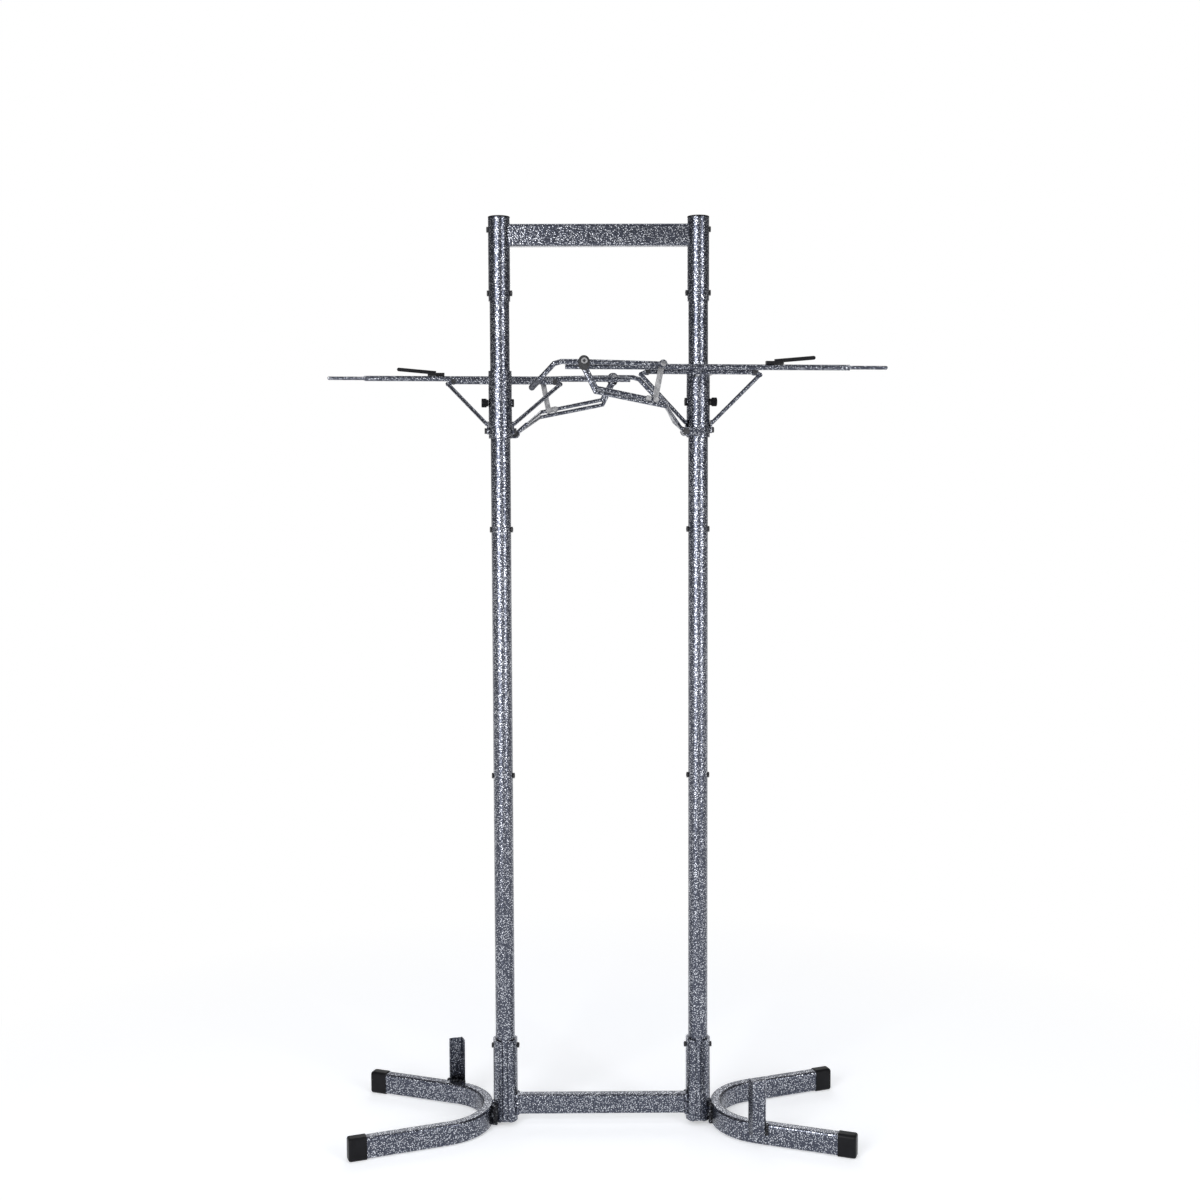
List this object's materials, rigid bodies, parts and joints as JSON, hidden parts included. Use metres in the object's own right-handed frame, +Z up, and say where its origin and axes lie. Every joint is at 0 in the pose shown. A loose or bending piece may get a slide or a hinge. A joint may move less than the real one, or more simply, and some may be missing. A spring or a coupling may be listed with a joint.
{
  "type": "bike rack",
  "caption": "Freestanding post stand with C-shaped feet, wheel stops and height-adjustable catch arms that hold bicycles upright.",
  "frame": {"origin": "on the floor at the middle of the footprint, halfway between the two posts", "axes": "+Z up along the posts, +X from the left post to the right post, -Y towards the side where the right cradle reaches out"},
  "size_m": [0.9034, 0.313, 1.49],
  "materials": {
    "hammertone_paint": "dark slate hammertone paint with light flecks",
    "black_plastic": "matte black",
    "zinc_steel": "bright zinc plating",
    "black_steel": "black paint or black plating"
  },
  "bodies": {
    "frame": {"left_leg": "hammertone_paint", "right_leg": "hammertone_paint", "left_foot_caps": "black_plastic", "right_foot_caps": "black_plastic", "left_wheel_stop": "hammertone_paint", "right_wheel_stop": "hammertone_paint", "left_leg_clamp": "hammertone_paint", "right_leg_clamp": "hammertone_paint", "left_cross_tube_clamp": "hammertone_paint", "right_cross_tube_clamp": "hammertone_paint", "cross_tube": "hammertone_paint", "left_lower_tube": "hammertone_paint", "left_middle_tube": "hammertone_paint", "left_upper_tube": "hammertone_paint", "right_lower_tube": "hammertone_paint", "right_middle_tube": "hammertone_paint", "right_upper_tube": "hammertone_paint", "left_top_sleeve": "hammertone_paint", "right_top_sleeve": "hammertone_paint", "left_top_cap": "black_plastic", "right_top_cap": "black_plastic", "top_crossbar": "hammertone_paint", "frame_bolts": "black_steel", "frame_nuts": "black_steel"},
    "right_cradle": {"right_cradle_sleeve": "hammertone_paint", "right_bracket": "hammertone_paint", "right_tip_strut": "hammertone_paint", "right_hook_strut": "hammertone_paint", "right_rail": "hammertone_paint", "right_cradle_bolts": "black_steel", "right_pivot_bolt": "black_steel"},
    "right_clamp": {"right_clamp_knob": "black_plastic", "right_clamp_screw": "zinc_steel"},
    "right_catch_arm": {"right_hook_rod": "hammertone_paint", "right_hook_cap": "black_plastic", "right_inner_brace_rod": "hammertone_paint", "right_outer_brace_rod": "hammertone_paint", "right_catch_plate": "black_steel", "right_catch_bolts": "zinc_steel", "right_link_strap": "zinc_steel"},
    "right_tip": {"right_tip_rod": "hammertone_paint", "right_tip_grip": "black_plastic"},
    "left_cradle": {"left_cradle_sleeve": "hammertone_paint", "left_bracket": "hammertone_paint", "left_tip_strut": "hammertone_paint", "left_hook_strut": "hammertone_paint", "left_rail": "hammertone_paint", "left_cradle_bolts": "black_steel", "left_pivot_bolt": "black_steel"},
    "left_clamp": {"left_clamp_knob": "black_plastic", "left_clamp_screw": "zinc_steel"},
    "left_catch_arm": {"left_hook_rod": "hammertone_paint", "left_hook_cap": "black_plastic", "left_inner_brace_rod": "hammertone_paint", "left_outer_brace_rod": "hammertone_paint", "left_catch_plate": "black_steel", "left_catch_bolts": "zinc_steel", "left_link_strap": "zinc_steel"},
    "left_tip": {"left_tip_rod": "hammertone_paint", "left_tip_grip": "black_plastic"}
  },
  "joints": [
    {"name": "right_cradle_height", "type": "slide", "parent": "frame", "child": "right_cradle", "axis": [0, 0, 1], "range_m": [-0.12, 0.1]},
    {"name": "right_knob_turn", "type": "hinge", "parent": "right_cradle", "child": "right_clamp", "pos_m": [0.17893, 0.00166, 1.1945], "axis": [0.9962, 0.0872, 0], "continuous": true},
    {"name": "right_catch_arm_swing", "type": "hinge", "parent": "right_cradle", "child": "right_catch_arm", "pos_m": [0.13727, -0.02708, 1.1455], "axis": [-0.0872, 0.9962, 0], "range_deg": [0, 20]},
    {"name": "right_tip_rod_slide", "type": "slide", "parent": "right_cradle", "child": "right_tip", "axis": [-0.9962, -0.0872, 0], "range_m": [0, 0.055]},
    {"name": "left_cradle_height", "type": "slide", "parent": "frame", "child": "left_cradle", "axis": [0, 0, 1], "range_m": [-0.12, 0.1]},
    {"name": "left_knob_turn", "type": "hinge", "parent": "left_cradle", "child": "left_clamp", "pos_m": [-0.17893, -0.00166, 1.1935], "axis": [-0.9962, -0.0872, 0], "continuous": true},
    {"name": "left_catch_arm_swing", "type": "hinge", "parent": "left_cradle", "child": "left_catch_arm", "pos_m": [-0.13727, 0.02708, 1.1445], "axis": [0.0872, -0.9962, 0], "range_deg": [0, 20]},
    {"name": "left_tip_rod_slide", "type": "slide", "parent": "left_cradle", "child": "left_tip", "axis": [0.9962, 0.0872, 0], "range_m": [0, 0.055]}
  ]
}
